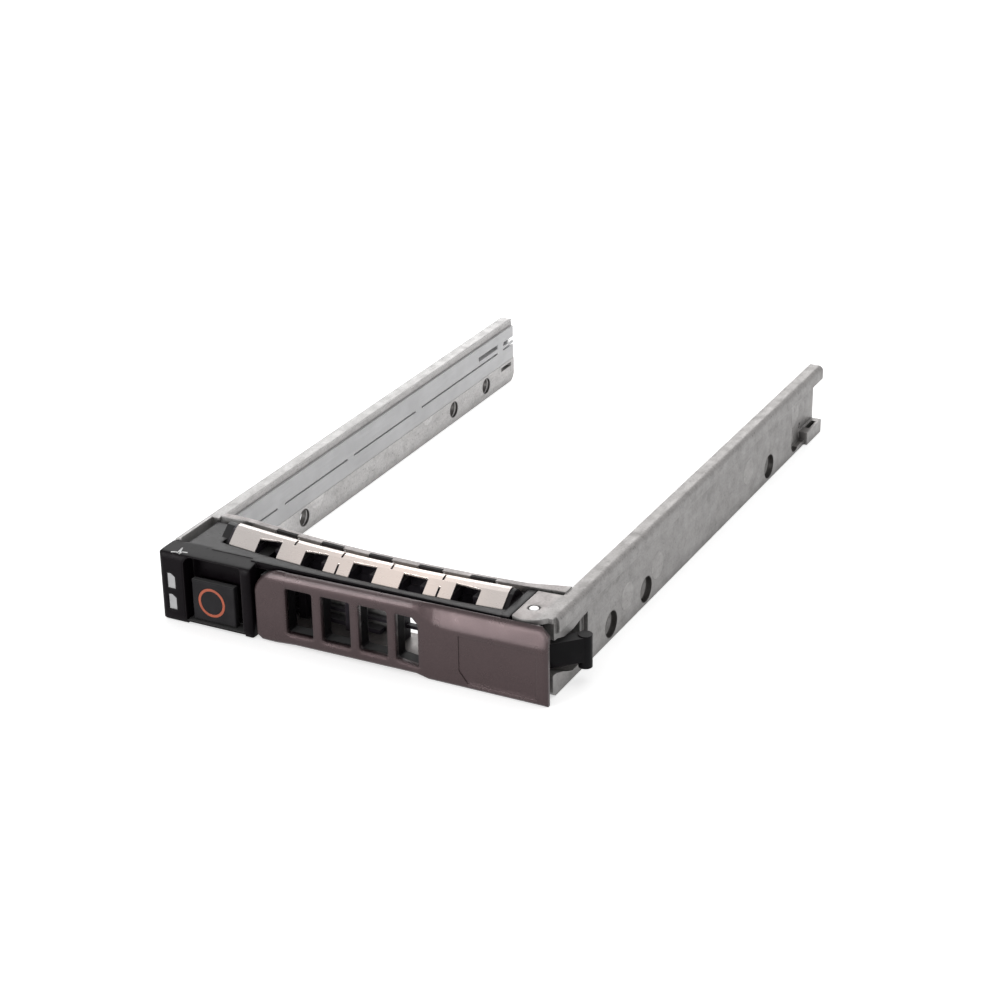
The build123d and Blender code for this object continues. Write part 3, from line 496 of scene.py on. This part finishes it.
def clip_slot_shade():
    """Painted shade: dark blocks at the mouths of the clip slots in the crossbar's top edge, one
    behind each cell.
    """
    bar_top = corners("tray_frame")[1].z
    pairs = []
    for n in range(CELLS):
        middle = STRIP_LEFT_X + FIRST_CELL + CELL_PITCH * n
        left, right = middle - SLOT_HALF, middle + SLOT_HALF
        mouth = ((left, SLOT_REAR), (right, SLOT_REAR), (right, SLOT_FRONT), (left, SLOT_FRONT))
        heights = (bar_top - SLOT_DEPTH, bar_top + SLOT_PROUD)
        pairs.append([[on_bow(x, outside, z) for x, outside in mouth] for z in heights])
    solid("clip_slot_shade", pairs, plain("slot_shade", (0.012, 0.011, 0.012), 0.8))


def strip_stop():
    """Black block that closes the strip's left end, a little lower than the strip."""
    ends = []
    for x in (STRIP_LEFT_X - STOP_BEGIN, STRIP_LEFT_X - STOP_END):
        ends.append([on_bow(x, outside, CREST_Z - below) for outside, below in STOP_SECTION])
    solid("strip_stop", [ends], black)


activity_mark()
clip_slot_shade()
strip_stop()


def seen_plainly(tree):
    """One for what the camera, a mirror-like surface or clear plastic shows, else zero."""
    path = tree.nodes.new("ShaderNodeLightPath")
    total = path.outputs["Is Camera Ray"]
    for kind in ("Is Glossy Ray", "Is Transmission Ray"):
        either = tree.nodes.new("ShaderNodeMath")
        either.operation = "MAXIMUM"
        tree.links.new(total, either.inputs[0])
        tree.links.new(path.outputs[kind], either.inputs[1])
        total = either.outputs[0]
    return total


def floor():
    """Plain pale floor that shows as white and keeps the object's shadow."""
    bpy.ops.mesh.primitive_plane_add(size=FLOOR_SIZE, location=(0, 0, -FLOOR_DROP * MM))
    plane = bpy.context.object
    plane.name = "floor"
    f = Finish("floor", (0.85, 0.85, 0.85), 0.9)
    f.shader.inputs["Specular IOR Level"].default_value = 0.0
    f.color(f.mix(f.ramp(f.noise(300, 2), 0, 1, 0.3, 0.7), (0.84, 0.84, 0.84), (0.86, 0.86, 0.86)))
    f.shader.inputs["Emission Color"].default_value = (1, 1, 1, 1)
    glow = f.add("ShaderNodeMath", operation="MULTIPLY")
    glow.inputs[1].default_value = FLOOR_GLOW
    f.link(seen_plainly(f.tree), glow.inputs[0])
    f.link(glow.outputs[0], f.shader.inputs["Emission Strength"])
    plane.data.materials.append(f.material)


def lamp(name, at, size, power):
    """Square lamp that aims at the origin."""
    data = bpy.data.lights.new(name, "AREA")
    data.shape = "SQUARE"
    data.size = size
    data.energy = power
    obj = bpy.data.objects.new(name, data)
    bpy.context.scene.collection.objects.link(obj)
    obj.location = at
    obj.rotation_euler = (-Vector(at)).to_track_quat("-Z", "Y").to_euler()


def surroundings():
    """Pale room: a soft grey light on the object, white where it is seen or mirrored."""
    world = bpy.data.worlds.new("studio")
    bpy.context.scene.world = world
    world.use_nodes = True
    tree = world.node_tree
    background = tree.nodes["Background"]
    background.inputs["Color"].default_value = (ROOM_LIGHT, ROOM_LIGHT, ROOM_LIGHT, 1)
    seen = tree.nodes.new("ShaderNodeBackground")
    seen.inputs["Color"].default_value = (1, 1, 1, 1)
    mix = tree.nodes.new("ShaderNodeMixShader")
    tree.links.new(seen_plainly(tree), mix.inputs["Fac"])
    tree.links.new(background.outputs[0], mix.inputs[1])
    tree.links.new(seen.outputs[0], mix.inputs[2])
    tree.links.new(mix.outputs[0], tree.nodes["World Output"].inputs["Surface"])


def camera():
    """Camera at the photograph's place and angle."""
    a, e, r = (math.radians(v) for v in (CAMERA_AZIMUTH, CAMERA_ELEVATION, CAMERA_ROLL))
    right = Vector((math.cos(a), math.sin(a), 0))
    back = Vector((math.sin(a) * math.cos(e), -math.cos(a) * math.cos(e), math.sin(e)))
    up = back.cross(right)
    turned_right = math.cos(r) * right + math.sin(r) * up
    turned_up = math.cos(r) * up - math.sin(r) * right
    data = bpy.data.cameras.new("camera")
    data.sensor_width = SENSOR
    data.lens = SENSOR * FOCAL_PIXELS / IMAGE_PIXELS
    data.clip_start = 0.01
    data.clip_end = 20
    obj = bpy.data.objects.new("camera", data)
    bpy.context.scene.collection.objects.link(obj)
    turn = Matrix((turned_right, turned_up, back)).transposed()
    obj.matrix_world = Matrix.Translation(CAMERA_AT) @ turn.to_4x4()
    bpy.context.scene.camera = obj


floor()
for settings in LAMPS:
    lamp(*settings)
surroundings()
camera()
bpy.context.scene.view_settings.view_transform = "Standard"
